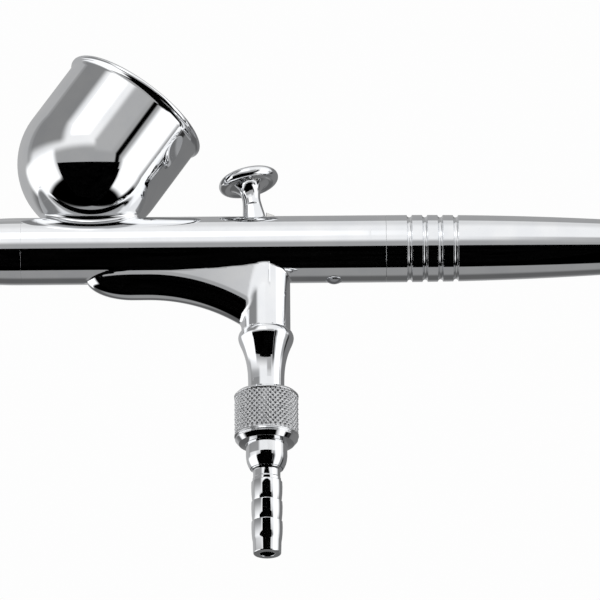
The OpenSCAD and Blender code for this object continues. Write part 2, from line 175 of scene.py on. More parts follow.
def around(along, out, t, axis):
    """Points round x or z at the angles t, this far along the axis and this far out from it."""
    u, v = out * np.cos(t), out * np.sin(t)
    along = np.broadcast_to(along, u.shape)
    return np.stack([along, u, v] if axis == "x" else [u, v, along], -1)


def circle_angles(seg):
    """The angles of seg points round a circle."""
    return np.arange(seg) * 2 * math.pi / seg


def placed(shell, place):
    """A shell moved by place = (rotation, offset)."""
    points, faces, normals = shell
    rotation, offset = place
    return points @ rotation.T + offset, faces, normals @ rotation.T


def lathe(corners, axis="x", seg=96, soft=0.08, steps=5):
    """A solid of revolution about x or z."""
    t = circle_angles(seg)
    rings = (around(v[:, :1], v[:, 1:], t, axis) for v in outline(corners, soft, steps))
    return stack(*rings)


def with_band(turned, split, band, t, axis):
    """A turned outline with the band's rings of (points, normals) after its point split."""
    rings, before, after = ([around(*v, t, axis) for v in part] for part in turned)
    points, normals = zip(*band)
    at = split + 1
    rings[at:at] = points
    before[at:at] = normals
    after[at:at] = normals
    return stack(np.array(rings), np.array(before), np.array(after))


def turning(angle, about="y"):
    """The matrix of a turn about y or x."""
    c, s = math.cos(angle), math.sin(angle)
    if about == "y":
        return np.array([[c, 0, s], [0, 1, 0], [-s, 0, c]])
    return np.array([[1, 0, 0], [0, c, -s], [0, s, c]])


def net(f, lo, hi, h, place=None):
    """The surface f = 0 of a signed distance, as quads with exact corners and normals."""
    ax = [np.arange(lo[i], hi[i] + h, h) for i in range(3)]
    size = [len(a) for a in ax]
    d = np.empty(size)
    y, z = np.meshgrid(ax[1], ax[2], indexing="ij")
    for i in range(0, size[0], 12):
        x = ax[0][i : i + 12][:, None, None]
        d[i : i + 12] = f(x + 0 * y, y + 0 * x, z + 0 * x)
    neg = d < 0
    cells = [s - 1 for s in size]
    ids, quads, marks = [], [], []
    # each grid edge that crosses the surface gives a quad between the four cells round it
    for a in range(3):
        b, c = (a + 1) % 3, (a + 2) % 3
        low = [slice(None)] * 3
        high = [slice(None)] * 3
        low[a], high[a] = slice(0, -1), slice(1, None)
        at = np.argwhere(neg[tuple(low)] != neg[tuple(high)])
        keep = (
            (at[:, b] > 0) & (at[:, b] < cells[b]) & (at[:, c] > 0) & (at[:, c] < cells[c])
        )
        at = at[keep]
        step = np.zeros(3, int)
        step[a] = 1
        d0 = d[tuple(at.T)]
        d1 = d[tuple((at + step).T)]
        point = np.stack([ax[i][at[:, i]] for i in range(3)], -1)
        point[:, a] += h * d0 / (d0 - d1)
        ring = []
        for db, dc in ((-1, -1), (0, -1), (0, 0), (-1, 0)):
            cell = at.copy()
            cell[:, b] += db
            cell[:, c] += dc
            ring.append((cell[:, 0] * cells[1] + cell[:, 1]) * cells[2] + cell[:, 2])
        ring = np.stack(ring, -1)
        out = d0 > 0
        ring[out] = ring[out][:, ::-1]
        quads.append(ring)
        for k in range(4):
            ids.append(ring[:, k])
            marks.append(point)
    # a cell's point starts at the mean of the crossings on its edges
    quads = np.concatenate(quads)
    cell, index = np.unique(np.concatenate(ids), return_inverse=True)
    marks = np.concatenate(marks)
    count = np.bincount(index, minlength=len(cell))
    v = np.stack(
        [np.bincount(index, marks[:, i], len(cell)) / count for i in range(3)], -1
    )
    quads = np.searchsorted(cell, quads)

    def slope(p, e=0.004):
        g = np.empty_like(p)
        for i in range(3):
            ahead, behind = p.copy(), p.copy()
            ahead[:, i] += e
            behind[:, i] -= e
            g[:, i] = (f(*ahead.T) - f(*behind.T)) / (2 * e)
        return g

    # and then steps onto the surface
    for _ in range(4):
        g = slope(v)
        move = -(f(*v.T) / np.maximum((g * g).sum(1), 0.05))[:, None] * g
        far = np.linalg.norm(move, axis=1, keepdims=True)
        v = v + move * np.minimum(1, 0.5 * h / np.maximum(far, 1e-9))
    n = slope(v)
    n /= np.maximum(np.linalg.norm(n, axis=1, keepdims=True), 1e-9)
    if place is not None:
        r, o = place
        v, n = v @ r.T + o, n @ r.T
    return v, quads, n[quads.ravel()]


def joined(a, b, r):
    """Union of two distances with a fillet of radius r."""
    u, v = np.maximum(r - a, 0), np.maximum(r - b, 0)
    return np.maximum(r, np.minimum(a, b)) - np.hypot(u, v)


def shared(a, b, r):
    """Intersection of two distances with a rounded edge."""
    return -joined(-a, -b, r)


def union(*distances):
    """Union of distances with sharp edges."""
    return functools.reduce(np.minimum, distances)


def ease(t):
    """A smooth step from 0 to 1."""
    t = np.clip(t, 0, 1)
    return t * t * (3 - 2 * t)


def rod_x(x, y, z, r, a, b):
    """A rod along x, from a to b."""
    return np.maximum(np.hypot(y, z) - r, np.maximum(a - x, x - b))


def rod_y(x, y, z, at, r, half):
    """A rod along y, through at = (x, z), of this half length."""
    return np.maximum(np.hypot(x - at[0], z - at[1]) - r, np.abs(y) - half)


def post(x, y, z, r, a, b):
    """A rod along z, from a to b."""
    return np.maximum(np.hypot(x, y) - r, np.maximum(a - z, z - b))


def block(x, y, z, low, high):
    q = [np.abs(v - (a + b) / 2) - (b - a) / 2 for v, a, b in zip((x, y, z), low, high)]
    return np.maximum(np.maximum(q[0], q[1]), q[2])


def capsule2(x, y, a, b, r):
    """Distance to a slot's outline that runs along x from a to b."""
    return np.hypot(x - np.clip(x, a, b), y) - r


def polygon2(px, py, corners):
    """Signed distance to a polygon in its plane."""
    best = np.full(np.broadcast(px, py).shape, 1e9)
    sign = np.ones(best.shape)
    n = len(corners)
    for i in range(n):
        a, b = corners[i], corners[i - 1]
        ex, ey = b[0] - a[0], b[1] - a[1]
        wx, wy = px - a[0], py - a[1]
        t = np.clip((wx * ex + wy * ey) / (ex * ex + ey * ey), 0, 1)
        best = np.minimum(best, (wx - ex * t) ** 2 + (wy - ey * t) ** 2)
        over, under, beside = py >= a[1], py < b[1], ex * wy > ey * wx
        crossed = (over & under & beside) | (~over & ~under & ~beside)
        sign = np.where(crossed, -sign, sign)
    return sign * np.sqrt(best)


def curve(knots, steps=8):
    """A smooth line through (a, b) knots."""
    k = np.array([knots[0], *knots, knots[-1]], float)
    out = []
    for i in range(1, len(k) - 2):
        p0, p1, p2, p3 = k[i - 1 : i + 3]
        c1, c2, c3 = p2 - p0, 2 * p0 - 5 * p1 + 4 * p2 - p3, 3 * p1 - p0 - 3 * p2 + p3
        for s in range(steps):
            t = s / steps
            out.append(tuple(0.5 * (2 * p1 + c1 * t + c2 * t * t + c3 * t**3)))
    out.append(tuple(k[-1]))
    return out


def coil(r, wire, z0, z1, turns, sides=10, per_turn=28):
    """A coil spring about z with closed ends, as one tube."""
    t = np.linspace(0, 1, int(turns * per_turn) + 1)
    a = 2 * math.pi * turns * t
    height = z1 - z0 - 2 * wire
    # the first and last 0.9 turn lie close, and climb only as much as the wire is thick
    close = 0.9 / turns
    climb = np.clip((t - close) / (1 - 2 * close), 0, 1)
    lay = 2.1 * wire / height
    ends = (np.minimum(t, close) + np.maximum(t - 1 + close, 0)) / close
    z = z0 + wire + height * (lay * ends + (1 - 2 * lay) * climb)
    centre = np.stack([r * np.cos(a), r * np.sin(a), z], -1)
    d = np.gradient(centre, axis=0)
    d /= np.linalg.norm(d, axis=1, keepdims=True)
    out = np.stack([np.cos(a), np.sin(a), 0 * a], -1)
    up = np.cross(d, out)
    s = circle_angles(sides)
    ring = (
        out[:, None, :] * np.cos(s)[None, :, None] + up[:, None, :] * np.sin(s)[None, :, None]
    )
    rings = centre[:, None, :] + wire * ring
    tips = [np.repeat(centre[i][None, :], sides, 0)[None] for i in (0, -1)]
    cap0 = np.repeat(-d[0][None, :], sides, 0)[None]
    cap1 = np.repeat(d[-1][None, :], sides, 0)[None]
    rings = np.concatenate([tips[0], rings, tips[1]])
    nb = np.concatenate([cap0, cap0, ring[1:], cap1])
    na = np.concatenate([cap0, ring[:-1], cap1, cap1])
    return stack(rings, nb, na, closed=False)


# ---------------------------------------------------------------- the brazed body and the cup
def brazed_body(x, y, z):
    """The barrel with the cup's seat, the finger rest, the valve casing and the ways inside."""
    # it draws in a hair at both ends, under the turned rings
    dive = 0.06 * (ease((-40.5 - x) / 2) + ease((x - 18.5) / 2))
    barrel = np.maximum(np.hypot(y, z) - (6.004 - dive), np.maximum(-42.6 - x, x - 20.8))
    reach = np.sqrt((x - CUP[0]) ** 2 + y * y + (z - CUP[1]) ** 2)
    d = joined(barrel, reach - 13.494, 1.1)
    d = np.maximum(np.maximum(d, z - 9.9), 13.05 - reach)
    # the finger curve is an arc from its level point back to the casing; the nose is a long oval
    level, nose, oval, arc, depth = -21.0, -23.5, 8.6, 34.2, 4.2
    below = arc - np.hypot(np.maximum(x, level) - level, z + arc + 5.2)
    ahead = np.maximum(nose - x, 0) * depth / oval
    out = np.hypot(ahead, np.maximum(below, 0))
    half = 3.4 + 0.16 * np.clip(-below, -4.2, 6)
    web = (np.sqrt((y / half) ** 2 + (out / depth) ** 2) - 1) * half
    web = np.maximum(np.maximum(web, z + 3.4), x - 0.5)
    casing = post(x, y, z, 4.35, -15.95, -1)
    d = joined(d, joined(web, casing, 0.4), 0.25)
    slot = union(capsule2(x, y, -5.8, -0.4, 2.4), capsule2(x, y, -0.4, 6.9, 1.9))
    ways = union(
        np.maximum(slot, -z),
        rod_x(x, y, z, 4.3, -9.2, 30),  # for the needle's tube and the spring case
        rod_x(x, y, z, 2.2, -19, -9),  # for the packing and its screw
        rod_x(x, y, z, 1.2, -37, -18),  # the paint way
        rod_x(x, y, z, 1.8, -40, -36),  # for the nozzle's shank
        rod_x(x, y, z, 4.72, -46, -39.5),  # for the nozzle cap's shank
        post(x, y, z, 2.65, -12.3, 0),  # for the plunger
        post(x, y, z, 3.2, -18, -12.3),  # for the valve body's shank
        np.maximum(np.hypot(x - CUP[0], y) - 1.6, -z),  # the cup's drain
    )
    return shared(d, -ways, 0.12)


def cup_shell():
    """The spun cup: a round bottom with its drain, a straight wall and a rolled rim."""
    outer, inner, drain = 13.5, 12.6, 1.6
    top, bead, lip = 13.5, 0.496, 0.25
    t = circle_angles(192)
    tilt = turning(TILT).T
    circle = np.stack([np.cos(t), np.sin(t), 0 * t], -1)
    great = circle @ tilt
    up = np.array([0, 0, 1.0])
    rings, before, after = [], [], []

    def add(points, normals_before, normals_after):
        rings.append(points)
        before.append(normals_before)
        after.append(normals_after)

    def ball(radius, sign, rising, steps=40):
        """From the level drain to the tilted wall, or back down where it isn't rising."""
        beta = math.asin(drain / radius)
        start = circle * math.sin(beta) + (0, 0, -math.cos(beta))
        w = np.arccos(np.clip((start * great).sum(1), -1, 1))[:, None]
        for k in range(steps + 1) if rising else range(steps, -1, -1):
            s = k / steps
            d = (np.sin((1 - s) * w) * start + np.sin(s * w) * great) / np.sin(w)
            normals = [d * sign, d * sign]
            if k == 0:  # the drain's wall is on the other side of this edge
                normals[0 if rising else 1] = -circle
            add(d * radius, *normals)

    def wall(station, radius, along, out):
        normals = (circle * out + up * along) @ tilt
        add((circle * radius + up * station) @ tilt, normals, normals)

    ball(outer, 1, True)
    for station in (3, 6, 9, 12):
        wall(station, outer, 0, 1)
    wall(top - bead * 0.97, outer + bead * 0.10, -0.75, 0.66)
    for a in np.radians(np.linspace(-72, 90, 19)):
        sin, cos = math.sin(a), math.cos(a)
        wall(top + bead * sin, outer + bead * cos, sin, cos)
    wall(top + bead, inner + lip, 1, 0)
    for a in np.radians(np.linspace(75, 0, 5)):
        sin, cos = math.sin(a), math.cos(a)
        wall(top + bead - lip + lip * sin, inner + lip - lip * cos, sin, -cos)
    for station in (12, 9, 6, 3):
        wall(station, inner, 0, -1)
    ball(inner, -1, False)
    centre = (CUP[0], 0, CUP[1])
    return stack(np.array(rings) + centre, np.array(before), np.array(after))


# ---------------------------------------------------------------- turned profiles
def handle_radius(x):
    """The handle tapers on one long arc, which starts level behind its front end."""
    start, arc = 23.9, 637.0
    past = max(0.0, x - start)
    return BARREL - arc + math.sqrt(arc * arc - past * past)


def handle_outline():
    """The handle with its four ring grooves, its round tail and its stepped bore."""
    front, tail = 21.52, 84.9
    groove, pitch, half = 25.7, 2.75, 0.46
    c = [(front, 5.0), (front, BARREL, 0.04)]
    for i in range(4):
        g = groove + pitch * i
        r = handle_radius(g) + 0.05
        c.append((g - 0.9, handle_radius(g - 0.9)))
        for a in np.linspace(0, 180, 13):
            w = math.radians(a)
            x = g - half * math.cos(w)
            if a in (0, 180):
                c.append((x, handle_radius(x), 0.05))
            else:
                c.append((x, min(r - half * math.sin(w), handle_radius(x) - 0.02)))
        c.append((g + 0.9, handle_radius(g + 0.9)))
    c += [(x, handle_radius(x)) for x in np.linspace(36, tail, 40)]
    end = handle_radius(tail)
    for a in np.linspace(5, 90, 18):
        w = math.radians(a)
        c.append((tail + end * math.sin(w), end * math.cos(w)))
    c[-1] = (tail + end, 0.0)
    c += [(76, 0.0), (76, 0.3), (75, 1.6), (62, 1.6), (60, 3.7), (44, 3.7), (44, 4.4)]
    c += [(29, 4.4), (29, 5.0)]
    return c


def nozzle_cap_outline():
    back, front, steps = -43.505, -57.0, 48
    c = [(-39.9, 3.4), (-39.9, 4.65), (back, 4.65), (back, BARREL, 0.015)]
    for i in range(1, steps):
        u = i / steps
        c.append((back + (front - back) * u, 3.6 + 2.4 * math.sqrt(1 - u**2.2)))
    c += [(front, 3.7, 0.1), (front, 2.6), (-59.6, 2.6), (-59.6, 1.0)]
    c += [(-58.8, 1.0), (-58.4, 1.3), (-45, 3.4)]
    return c


def knurl(theta, z):
    """Radius of a crossed knurl of small pyramids, which fades out at both ends of its band."""
    radius, depth, count, pitch = 5.7, 0.3, 38, 0.94
    low, high, fade = -35.6, -28.15, 0.35
    zone = ease((z - low) / fade) * ease((high - z) / fade)
    a = theta * count / (2 * math.pi)
    u, v = a + z / pitch, a - z / pitch
    tri_u = np.abs(u - np.floor(u) - 0.5) * 2
    tri_v = np.abs(v - np.floor(v) - 0.5) * 2
    return radius - depth * zone * np.maximum(tri_u, tri_v)


def union_nut():
    """The hose nut: a fine knurled band above a plain collar and a tapered lip."""
    rows, e = 72, 0.01
    c = [(-27.6, 4.1), (-27.6, 5.2, 0.12), (-28.1, 5.7, 0.12), (-35.75, 5.7, 0.1)]
    c += [(-35.95, 5.25, 0.1), (-36.25, 5.6, 0.12), (-37.1, 4.9, 0.12), (-37.25, 3.65, 0.12)]
    c += curve([(-39.4, 3.65), (-40.4, 3.52), (-41.2, 3.24), (-41.8, 2.92)], 5)
    c += [(-41.8, 2.8), (-34.45, 2.8), (-34.45, 4.05), (-29, 4.05)]
    turned = outline(c, 0.08, 4)
    p = turned[0]
    split = max(i for i in range(len(p)) if p[i][1] > 5.5 and p[i][0] > -29)
    t = circle_angles(336)
    cos, sin = np.cos(t), np.sin(t)
    band = []
    for z in np.linspace(p[split][0], -35.55, rows)[1:]:
        r = knurl(t, z)
        dt = (knurl(t + e, z) - knurl(t - e, z)) / (2 * e)
        dz = (knurl(t, z + e) - knurl(t, z - e)) / (2 * e)
        n = np.stack([r * cos + dt * sin, r * sin - dt * cos, -dz * r], -1)
        band.append((around(z, r, t, "z"), n / np.linalg.norm(n, axis=1, keepdims=True)))
    return with_band(turned, split, band, t, "z")


def chuck_nut():
    """The nut on the needle's collet, with shallow flutes round its grip."""
    flutes, depth = 18, 0.18
    c = [(44.5, 2.05), (44.5, 3.0, 0.2), (44.8, 3.2, 0.1), (50.6, 3.2, 0.2), (52, 2.2, 0.2)]
    c += [(52, 0.8), (50.4, 0.8), (50.4, 2.05)]
    turned = outline(c)
    p = turned[0]
    split = max(i for i in range(len(p)) if p[i][1] > 3.15 and p[i][0] < 46)
    t = circle_angles(216)
    wave = (0.5 + 0.5 * np.cos(flutes * t)) ** 2
    band = []
    for x in np.linspace(45.2, 50.2, 20):
        zone = float(ease((x - 45.2) / 0.4) * ease((50.2 - x) / 0.4))
        band.append((around(x, 3.2 - depth * zone * wave, t, "x"), around(0, 1, t, "x")))
    return with_band(turned, split, band, t, "x")


def nipple_outline():
    c = [(-32.2, 1.3), (-32.2, 3.85), (-34.4, 3.85), (-34.4, 2.75), (-41.9, 2.75, 0.3)]
    c += [(-42.2, 2.4, 0.1), (-43.4, 2.4, 0.1), (-43.6, 2.5, 0.1)]
    foot, length = -AXIS + 2.3, (-44.2 + AXIS - 2.3) / 3
    c.append((-44.2, 2.5, 0.1))
    for i in (2, 1, 0):
        z = foot + length * i
        c += [(z + length - 0.02, 2.72, 0.1), (z + 0.72 * length, 2.75)]
        c += [(z + 0.4 * length, 2.71), (z + 0.15 * length, 2.62), (z, 2.52, 0.05)]
    c += [(-AXIS, 2.45, 0.25), (-AXIS, 1.3, 0.15)]
    return c


def valve_body_outline():
    c = [(-12.4, 1.05), (-12.4, 3.2), (-15.7, 3.2), (-15.7, 3.9, 0.05)]
    waist = [(-15.75, 4.3), (-16.3, 4.74), (-17.1, 4.93), (-18, 4.72), (-19, 4.3), (-20.2, 3.88)]
    c += curve(waist + [(-21.8, 3.5), (-23.6, 3.27), (-25.5, 3.2)], 6)
    c += [(-28.4, 3.2, 0.1), (-28.4, 4.0), (-31.6, 4.0), (-31.6, 2.2)]
    c += [(-19.2, 2.2), (-19.2, 1.05)]
    return c


# ---------------------------------------------------------------- the trigger and its parts
NECK = curve(
    [(2.1, 13.6), (1.98, 14.8), (1.72, 16.6), (1.62, 18.0)]
    + [(1.9, 19.2), (2.75, 20.15), (3.8, 20.75), (4.6, 20.95)],
    6,
)


def trigger_shape(x, y, z):
    """The dished button on its waisted stem, which ends in a tongue round the pin."""
    rho = np.hypot(x, y)
    # above the stem the button leans a little further forward
    tipped = z - 0.07 * x * ease((z - 17.5) / 3)
    corners = [(-1.0, 6.6), (2.1, 6.6)] + NECK + [(4.6, 22.4), (-1.0, 22.4)]
    d = polygon2(rho, tipped, corners)
    d = joined(d, np.hypot(rho - 4.4, tipped - 21.4) - 1.0, 0.4)
    d = shared(d, 13.6 - np.sqrt(x * x + y * y + (tipped - 35.2) ** 2), 0.25)
    flat = 1.7 + 4 * ease((z - 16.4) / 2.0)
    d = shared(d, np.abs(y) - flat, 0.5)
    d = union(
        d,
        np.maximum(rho - 1.5, np.maximum(2.3 - z, z - 7)),
        rod_y(x, y, z, (0, 0), 1.5, 0.9),
        block(x, y, z, (-1.5, -0.9, 0), (1.5, 0.9, 2.5)),
    )
    cut = union(
        rod_y(x, y, z, (0, 0), 0.75, 5), block(x, y, z, (-4, -0.95, 6.9), (4, 0.95, 11.2))
    )
    return shared(d, -cut, 0.08)


def lever_shape(x, y, z):
    """The back lever: a forked blade behind the trigger, with an ear on the tube's pin."""
    near, far = 2.15, 3.55
    blade = polygon2(x, z, [(near, 5.4), (near, 14.4), (far, 13.6), (far, 5.4)])
    blade = shared(blade, np.abs(y) - 1.7, 0.15)
    blade = shared(blade, -block(x, y, z, (0, -0.95, 4), (5, 0.95, 9)), 0.08)
    ex = 4.4 * math.cos(LEAN) + (2.4 - PIVOT) * math.sin(LEAN)
    ez = (2.4 - PIVOT) * math.cos(LEAN) - 4.4 * math.sin(LEAN)
    lever = union(
        blade,
        rod_y(x, y, z, (ex, ez), 1.2, 0.8),
        block(x, y, z, (near, -0.8, ez - 0.6), (ex, 0.8, ez + 1.0)),
    )
    return shared(lever, -rod_y(x, y, z, (ex, ez), 0.65, 3), 0.06)


def plunger_shape(x, y, z):
    """The plunger: a forked head for the trigger's tongue, on a thin rod."""
    d = union(post(x, y, z, 2.6, -10.6, -6.4), post(x, y, z, 1.0, -19.3, -10.5))
    d = shared(d, -block(x, y, z, (-4, -1, -9.8), (4, 1, 0)), 0.1)
    return shared(d, -rod_y(x, y, z, (0, PIVOT), 0.7, 4), 0.06)


def tube_shape(x, y, z):
    """The needle's tube: a wide clevis in front and a split collet behind."""
    d = union(rod_x(x, y, z, 4.24, 2.95, 6.8), rod_x(x, y, z, 2.0, 6.5, 50))
    cut = union(
        rod_x(x, y, z, 0.7, 0, 53),
        block(x, y, z, (0, -0.9, 0), (6.1, 0.9, 6)),
        rod_y(x, y, z, (4.4, 2.4), 0.6, 3.2),
        block(x, y, z, (45.5, -0.2, -3), (52, 0.2, 3)),
    )
    return shared(d, -cut, 0.08)


# ---------------------------------------------------------------- materials
def new_material(name):
    m = bpy.data.materials.new(name)
    m.use_nodes = True
    tree = m.node_tree
    return m, tree, tree.nodes["Principled BSDF"]


def link(tree, a, b):
    tree.links.new(a, b)


class Nodes:
    """Small sums in a node tree."""

    def __init__(self, tree):
        self.tree = tree

    def math(self, op, a, b=None, c=None):
        n = self.tree.nodes.new("ShaderNodeMath")
        n.operation = op
        for i, v in enumerate((a, b, c)):
            if v is None:
                continue
            if isinstance(v, (int, float)):
                n.inputs[i].default_value = v
            else:
                link(self.tree, v, n.inputs[i])
        return n.outputs[0]

    def ramp(self, v, a, b, low=0.0, high=1.0):
        n = self.tree.nodes.new("ShaderNodeMapRange")
        n.interpolation_type = "SMOOTHSTEP"
        n.inputs["From Min"].default_value = a
        n.inputs["From Max"].default_value = b
        n.inputs["To Min"].default_value = low
        n.inputs["To Max"].default_value = high
        link(self.tree, v, n.inputs["Value"])
        return n.outputs["Result"]

    def window(self, v, a, b, soft):
        return self.math(
            "MULTIPLY", self.ramp(v, a - soft, a + soft), self.ramp(v, b - soft, b + soft, 1, 0)
        )

    def over(self, base, value, mask):
        """value where mask is 1, base where it is 0."""
        d = self.math("SUBTRACT", value, base)
        return self.math("MULTIPLY_ADD", d, mask, base)


def noise_ramp(tree, scale, low, high, stretch=(1, 1, 1)):
    """A noise in object space, spread between two colours or two grey values."""
    co = tree.nodes.new("ShaderNodeTexCoord")
    mp = tree.nodes.new("ShaderNodeMapping")
    mp.inputs["Scale"].default_value = stretch
    tx = tree.nodes.new("ShaderNodeTexNoise")
    tx.inputs["Scale"].default_value = scale
    tx.inputs["Detail"].default_value = 4.0
    rp = tree.nodes.new("ShaderNodeValToRGB")
    for element, at, colour in zip(rp.color_ramp.elements, (0.35, 0.65), (low, high)):
        element.position = at
        element.color = (*colour, 1)
    link(tree, co.outputs["Object"], mp.inputs["Vector"])
    link(tree, mp.outputs["Vector"], tx.inputs["Vector"])
    link(tree, tx.outputs["Fac"], rp.inputs["Fac"])
    return rp.outputs["Color"], tx.outputs["Fac"]


def metal(name, low, high, rough, scale, stretch=(1, 1, 1), bump=0.0, bump_scale=4000):
    """A metal whose colour and roughness wander a little, with fine turning marks as bump."""
    m, tree, p = new_material(name)
    p.inputs["Metallic"].default_value = 1.0
    colour, _ = noise_ramp(tree, scale, low, high, stretch=stretch)
    link(tree, colour, p.inputs["Base Color"])
    r, _ = noise_ramp(tree, scale * 2.3, (rough[0],) * 3, (rough[1],) * 3, stretch=stretch)
    link(tree, r, p.inputs["Roughness"])
    if bump:
        _, h = noise_ramp(tree, bump_scale, (0,) * 3, (1,) * 3, stretch=stretch)
        b = tree.nodes.new("ShaderNodeBump")
        b.inputs["Strength"].default_value = bump
        b.inputs["Distance"].default_value = 0.00002
        link(tree, h, b.inputs["Height"])
        link(tree, b.outputs["Normal"], p.inputs["Normal"])
    return m


def dull(name, low, high, rough, scale, bump, sheen=0.0):
    """Plastic, rubber or paint with a fine grain."""
    m, tree, p = new_material(name)
    colour, h = noise_ramp(tree, scale, low, high)
    link(tree, colour, p.inputs["Base Color"])
    r, _ = noise_ramp(tree, scale * 1.7, (rough[0],) * 3, (rough[1],) * 3)
    link(tree, r, p.inputs["Roughness"])
    p.inputs["Sheen Weight"].default_value = sheen
    b = tree.nodes.new("ShaderNodeBump")
    b.inputs["Strength"].default_value = bump
    b.inputs["Distance"].default_value = 0.00005
    link(tree, h, b.inputs["Height"])
    link(tree, b.outputs["Normal"], p.inputs["Normal"])
    return m


MATERIALS = {
    "chrome": metal(
        "polished_chrome",
        (0.86, 0.87, 0.885),
        (0.91, 0.915, 0.92),
        (0.018, 0.045),
        260,
        bump=0.012,
        bump_scale=1500,
    ),
    "nickel": metal(
        "turned_nickel",
        (0.60, 0.59, 0.57),
        (0.72, 0.71, 0.69),
        (0.16, 0.30),
        700,
        (1, 12, 12),
        0.25,
        2600,
    ),
    "steel": metal(
        "ground_steel",
        (0.58, 0.59, 0.61),
        (0.70, 0.71, 0.73),
        (0.12, 0.24),
        800,
        (1, 14, 14),
        0.2,
        3000,
    ),
    "spring_steel": metal(
        "drawn_wire",
        (0.42, 0.42, 0.44),
        (0.58, 0.58, 0.60),
        (0.2, 0.34),
        1200,
        (1, 1, 1),
        0.2,
        5000,
    ),
    "brass": metal(
        "turned_brass",
        (0.66, 0.48, 0.20),
        (0.80, 0.62, 0.31),
        (0.14, 0.28),
        700,
        (1, 12, 12),
        0.2,
        2600,
    ),
    "ptfe": dull(
        "white_ptfe", (0.84, 0.84, 0.82), (0.92, 0.92, 0.90), (0.38, 0.55), 1500, 0.15
    ),
    "nylon": dull(
        "ivory_nylon", (0.78, 0.75, 0.64), (0.86, 0.83, 0.73), (0.34, 0.5), 1500, 0.15
    ),
    "rubber": dull(
        "black_nitrile",
        (0.016, 0.016, 0.017),
        (0.034, 0.034, 0.036),
        (0.45, 0.65),
        2200,
        0.3,
        0.1,
    ),
}


def knurled_chrome():
    """Chrome that is bright on the collar and satin on the knurl's small faces."""
    m = metal("knurled_chrome", (0.80, 0.81, 0.825), (0.88, 0.885, 0.89), (0.03, 0.06), 260)
    tree = m.node_tree
    p = tree.nodes["Principled BSDF"]
    co = tree.nodes.new("ShaderNodeTexCoord")
    sep = tree.nodes.new("ShaderNodeSeparateXYZ")
    link(tree, co.outputs["Object"], sep.inputs[0])
    k = Nodes(tree)
    foot, head = (AXIS - 35.6) * MM, (AXIS - 28.2) * MM
    band = k.window(sep.outputs["Z"], foot, head, 0.0001)
    plain = p.inputs["Roughness"].links[0].from_socket
    link(tree, k.over(plain, 0.38, band), p.inputs["Roughness"])
    dulled, _ = noise_ramp(tree, 900, (0.66, 0.665, 0.675), (0.76, 0.765, 0.77))
    mix = tree.nodes.new("ShaderNodeMix")
    mix.data_type = "RGBA"
    link(tree, band, mix.inputs[0])
    link(tree, p.inputs["Base Color"].links[0].from_socket, mix.inputs[6])
    link(tree, dulled, mix.inputs[7])
    link(tree, mix.outputs[2], p.inputs["Base Color"])
    return m


SLOT_OF = {s["node"]: s["material_slot"] for s in frame["record"]["subparts"]}
BODY_OF = {
    n: body for body, nodes in frame["record"]["behaviour"]["bodies"].items() for n in nodes
}


def add_piece(name, shells, *nodes, material=None):
    """One piece that stands for these CAD nodes and takes its body and finish from the first."""
    obj = make_piece(name, shells)
    obj.data.materials.append(material or MATERIALS[SLOT_OF[nodes[0]]])
    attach(obj, BODY_OF[nodes[0]])
    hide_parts(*nodes)
    return obj


def add_turned(name, node, corners, *args, **options):
    """A piece that is one solid of revolution."""
    return add_piece(name, [lathe(corners, *args, **options)], node)


def spot(x, z, rotation=np.eye(3)):
    """Where a shell goes: its rotation and its offset."""
    return rotation, np.array([x, 0, z])


def o_ring(station, radius, wire):
    angles = np.arange(24) * math.pi / 12
    return [(station + wire * math.cos(a), radius + wire * math.sin(a)) for a in angles]


# ---------------------------------------------------------------- the pieces
ON_TRIGGER = spot(0, PIVOT, turning(-LEAN))
ACROSS = turning(math.pi / 2, "x")
BODY_GRID = 0.27
TRIGGER_GRID = 0.115

front_ring = [(-43.5, 5.3), (-43.5, BARREL, 0.015), (-40.2, BARREL), (-40.2, 4.7)]
front_ring += [(-42.7, 4.7), (-42.7, 5.3)]
rear_ring = [(18.0, 4.3), (18.0, BARREL), (21.5, BARREL, 0.04), (21.5, 4.95)]
rear_ring += [(27, 4.95, 0.2), (27, 4.3)]
add_piece(
    "barrel_finger_rest_and_casing",
    [
        net(brazed_body, (-43.4, -6.9, -16.6), (21.6, 6.9, 10.4), BODY_GRID),
        lathe(front_ring, seg=160),
        lathe(rear_ring, seg=160),
    ],
    "body",
    "finger_rest",
    "valve_casing",
)
add_piece("spun_cup", [cup_shell()], "color_cup")

foot, r = -6.6, 2.2
dome = [(foot + r - r * math.cos(a), r * math.sin(a)) for a in np.linspace(0.08, 0.74, 9)]
screw = [(foot, 0.0), *dome, (-5.75, 1.5), (-5.75, 1.0), (-4.5, 1.0), (-4.5, 0.0)]
add_piece("dome_screw", [placed(lathe(screw, "z", 64, 0.04), spot(12.2, 0))], "retaining_screw")

add_turned("tapered_handle", "handle", handle_outline(), seg=160)
add_turned("nozzle_cap_shell", "nozzle_cap", nozzle_cap_outline(), seg=128)
crown = curve([(-62.95, 2.3), (-62.4, 2.72), (-60.6, 3.28), (-58.6, 3.52), (-57.05, 3.58)], 6)
crown = [(-63, 1.6), *crown, (-57.05, 2.65), (-59.7, 2.65), (-59.7, 1.6)]
add_turned("needle_cap_shell", "needle_cap", crown, seg=96)
cone = [(-60.3, 0.2), (-60.3, 0.5, 0.03), (-41.6, 2.2), (-41.6, 2.6), (-39.9, 2.6)]
cone += [(-39.9, 1.8), (-36, 1.8), (-36, 1.1), (-46, 1.1)]
add_turned("fluid_nozzle", "nozzle", cone, seg=64, soft=0.05)
washer = [(-39.9, 1.8), (-39.9, 2.6), (-39.5, 2.6), (-39.5, 1.8)]
add_turned("nozzle_washer", "nozzle_seal", washer, seg=64, soft=0.06)
add_turned("head_o_ring", "head_seal", o_ring(-43.14, 5.0, 0.3), seg=96)
gland = [(-19, 0.73), (-19, 2.2), (-16.2, 2.2), (-16.2, 0.73)]
